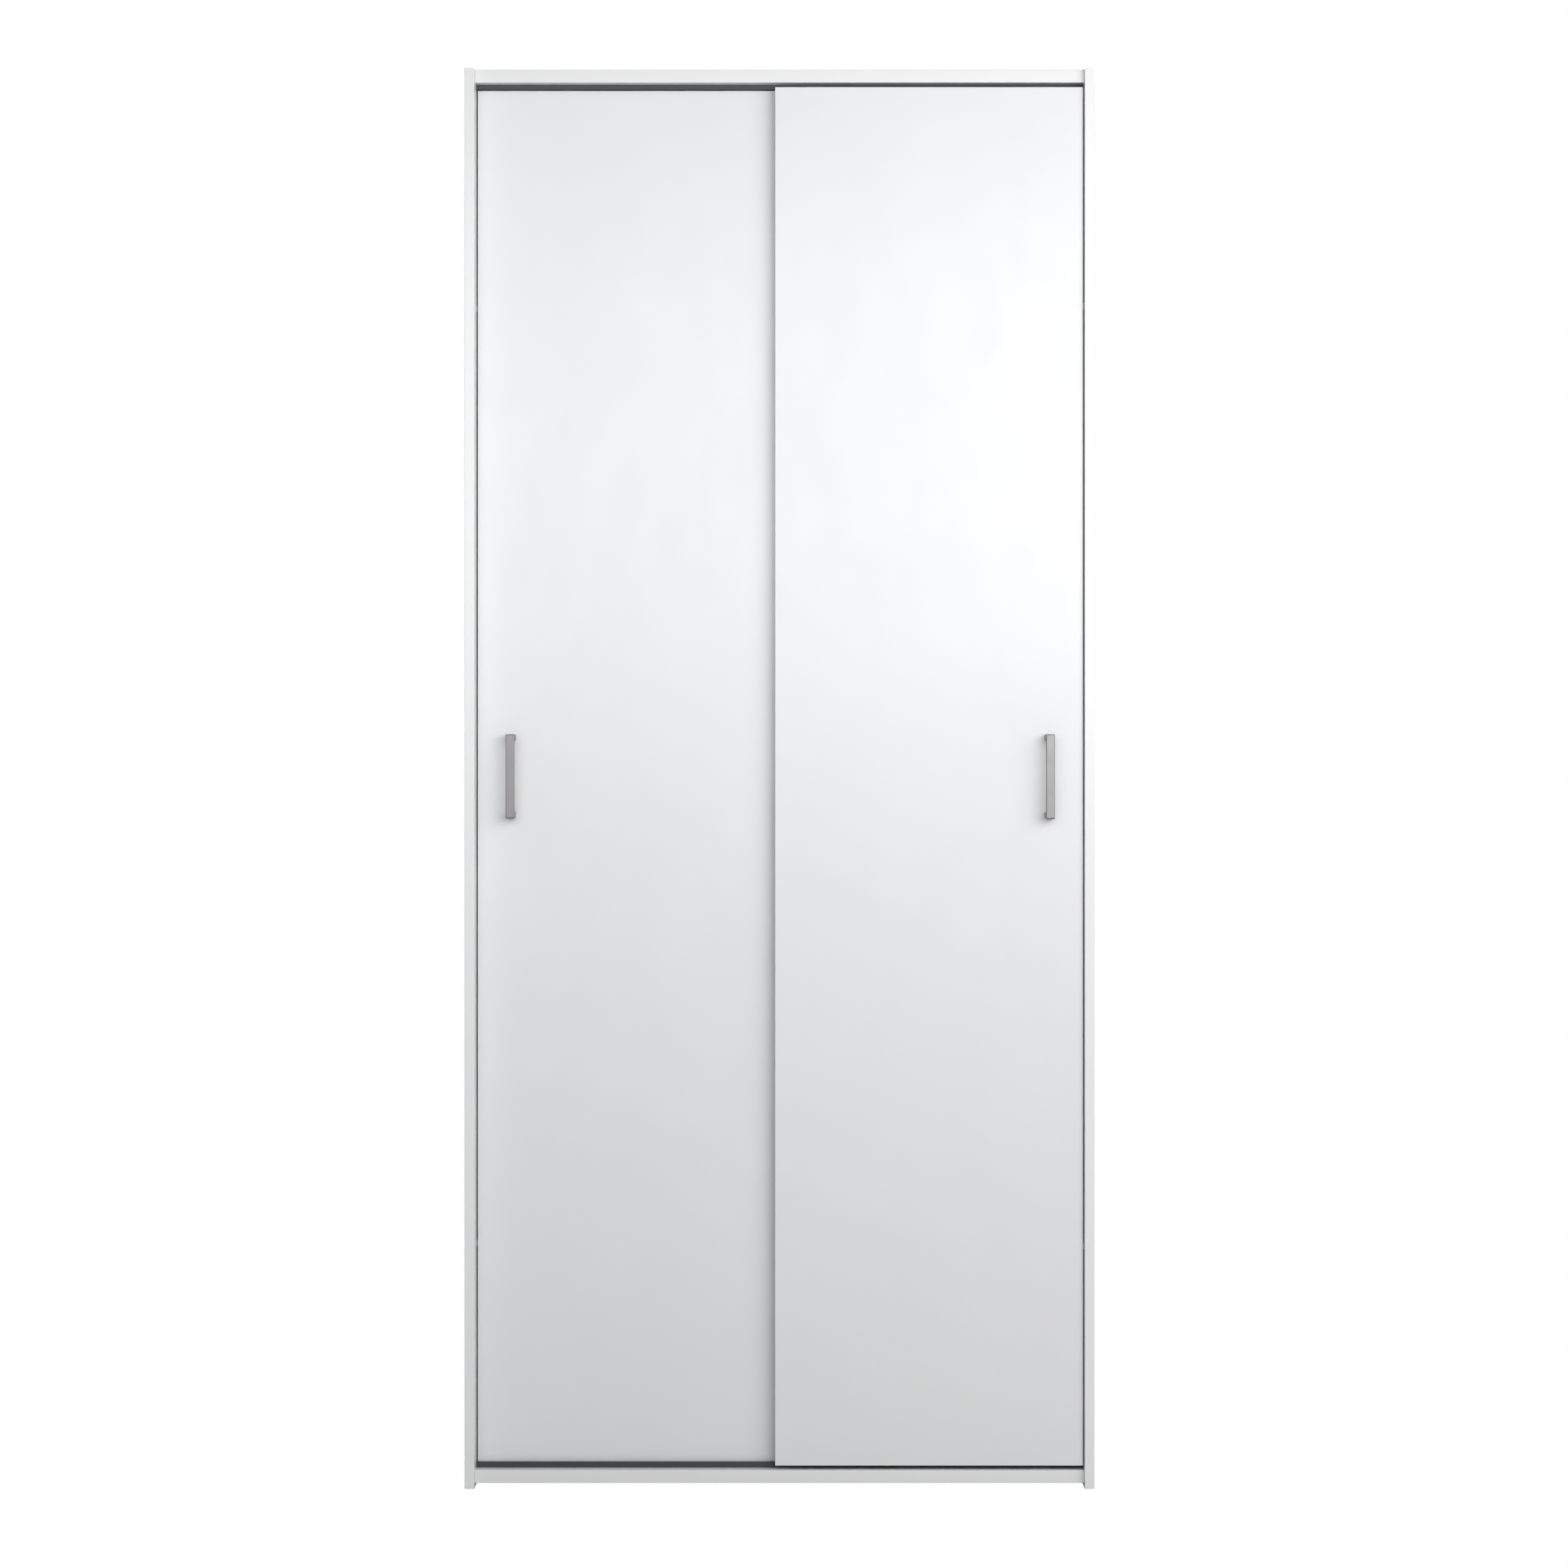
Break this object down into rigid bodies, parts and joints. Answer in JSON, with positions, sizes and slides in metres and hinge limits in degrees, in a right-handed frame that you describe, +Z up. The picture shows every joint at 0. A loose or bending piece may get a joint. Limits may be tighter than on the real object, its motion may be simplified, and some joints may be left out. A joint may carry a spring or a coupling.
{
  "type": "sliding door wardrobe",
  "caption": "Tall narrow white wardrobe with sliding doors on a double track, bow handles, a hat shelf and a clothes rail inside.",
  "frame": {"origin": "middle of the wardrobe's footprint, handles included, on the floor", "axes": "+X to the right as seen from the front, +Y from the doors towards the back, +Z up"},
  "size_m": [0.776, 0.5144, 1.753],
  "materials": {
    "white_melamine": "white melamine, satin",
    "white_hardboard": "white lacquer inside, raw brown outside",
    "track_plastic": "dark grey extrusion",
    "handle_metal": "satin grey metal",
    "zinc_steel": "zinc plated",
    "rail_steel": "satin plated",
    "roller_nylon": "natural nylon",
    "fitting_plastic": "moulded, fine texture",
    "bumper_rubber": "soft grey",
    "beech": "plain beech",
    "white_plastic": "moulded white"
  },
  "bodies": {
    "carcass": {"left_side_panel": "white_melamine", "right_side_panel": "white_melamine", "top_panel": "white_melamine", "bottom_panel": "white_melamine", "hat_shelf": "white_melamine", "upper_back_panel": "white_hardboard", "lower_back_panel": "white_hardboard", "back_joining_strip": "white_plastic", "back_nails": "zinc_steel", "cam_locks": "zinc_steel", "cam_bolts": "zinc_steel", "dowels": "beech", "top_track": "track_plastic", "bottom_track": "track_plastic", "track_screws": "zinc_steel", "clothes_rail": "rail_steel", "rail_bracket_left": "rail_steel", "rail_bracket_right": "rail_steel", "rail_bracket_screws": "zinc_steel", "wall_bracket_left": "zinc_steel", "wall_bracket_right": "zinc_steel", "wall_bracket_screws": "zinc_steel", "floor_glides": "white_plastic", "door_bumpers": "bumper_rubber"},
    "left_door": {"left_door_panel": "white_melamine", "left_door_handle": "handle_metal", "left_handle_screws": "zinc_steel", "left_carriage_outer": "fitting_plastic", "left_guide_housing_outer": "fitting_plastic", "left_guide_spring_outer": "zinc_steel", "left_carriage_inner": "fitting_plastic", "left_guide_housing_inner": "fitting_plastic", "left_guide_spring_inner": "zinc_steel", "left_roller_axles": "zinc_steel", "left_carriage_screws": "zinc_steel", "left_guide_screws": "zinc_steel"},
    "left_roller_outer": {"left_roller_outer": "roller_nylon"},
    "left_guide_slider_outer": {"left_guide_slider_outer": "fitting_plastic"},
    "left_roller_inner": {"left_roller_inner": "roller_nylon"},
    "left_guide_slider_inner": {"left_guide_slider_inner": "fitting_plastic"},
    "right_door": {"right_door_panel": "white_melamine", "right_door_handle": "handle_metal", "right_handle_screws": "zinc_steel", "right_carriage_outer": "fitting_plastic", "right_guide_housing_outer": "fitting_plastic", "right_guide_spring_outer": "zinc_steel", "right_carriage_inner": "fitting_plastic", "right_guide_housing_inner": "fitting_plastic", "right_guide_spring_inner": "zinc_steel", "right_roller_axles": "zinc_steel", "right_carriage_screws": "zinc_steel", "right_guide_screws": "zinc_steel"},
    "right_roller_outer": {"right_roller_outer": "roller_nylon"},
    "right_guide_slider_outer": {"right_guide_slider_outer": "fitting_plastic"},
    "right_roller_inner": {"right_roller_inner": "roller_nylon"},
    "right_guide_slider_inner": {"right_guide_slider_inner": "fitting_plastic"}
  },
  "joints": [
    {"name": "left_door_slide", "type": "slide", "parent": "carcass", "child": "left_door", "axis": [1, 0, 0], "range_m": [0, 0.32]},
    {"name": "left_roller_outer_spin", "type": "hinge", "parent": "left_door", "child": "left_roller_outer", "pos_m": [-0.3245, -0.18725, 0.0392], "axis": [0, 1, 0], "range_deg": [-1, 2293]},
    {"name": "left_guide_slider_outer_press", "type": "slide", "parent": "left_door", "child": "left_guide_slider_outer", "axis": [0, 0, 1], "range_m": [-0.006, 0], "stiffness_N_per_m": 300, "springref_m": 0.005, "deforming": ["left_guide_spring_outer"]},
    {"name": "left_roller_inner_spin", "type": "hinge", "parent": "left_door", "child": "left_roller_inner", "pos_m": [-0.0445, -0.18725, 0.0392], "axis": [0, 1, 0], "range_deg": [-1, 2293]},
    {"name": "left_guide_slider_inner_press", "type": "slide", "parent": "left_door", "child": "left_guide_slider_inner", "axis": [0, 0, 1], "range_m": [-0.006, 0], "stiffness_N_per_m": 300, "springref_m": 0.005, "deforming": ["left_guide_spring_inner"]},
    {"name": "right_door_slide", "type": "slide", "parent": "carcass", "child": "right_door", "axis": [1, 0, 0], "range_m": [-0.32, 0]},
    {"name": "right_roller_outer_spin", "type": "hinge", "parent": "right_door", "child": "right_roller_outer", "pos_m": [0.3245, -0.21125, 0.0392], "axis": [0, 1, 0], "range_deg": [-2293, 1]},
    {"name": "right_guide_slider_outer_press", "type": "slide", "parent": "right_door", "child": "right_guide_slider_outer", "axis": [0, 0, 1], "range_m": [-0.006, 0], "stiffness_N_per_m": 300, "springref_m": 0.005, "deforming": ["right_guide_spring_outer"]},
    {"name": "right_roller_inner_spin", "type": "hinge", "parent": "right_door", "child": "right_roller_inner", "pos_m": [0.0445, -0.21125, 0.0392], "axis": [0, 1, 0], "range_deg": [-2293, 1]},
    {"name": "right_guide_slider_inner_press", "type": "slide", "parent": "right_door", "child": "right_guide_slider_inner", "axis": [0, 0, 1], "range_m": [-0.006, 0], "stiffness_N_per_m": 300, "springref_m": 0.005, "deforming": ["right_guide_spring_inner"]}
  ],
  "couplings": [
    {"joint": "left_roller_outer_spin", "follows": "left_door_slide", "rad_per_m": 125},
    {"joint": "left_roller_inner_spin", "follows": "left_door_slide", "rad_per_m": 125},
    {"joint": "right_roller_outer_spin", "follows": "right_door_slide", "rad_per_m": 125},
    {"joint": "right_roller_inner_spin", "follows": "right_door_slide", "rad_per_m": 125}
  ]
}
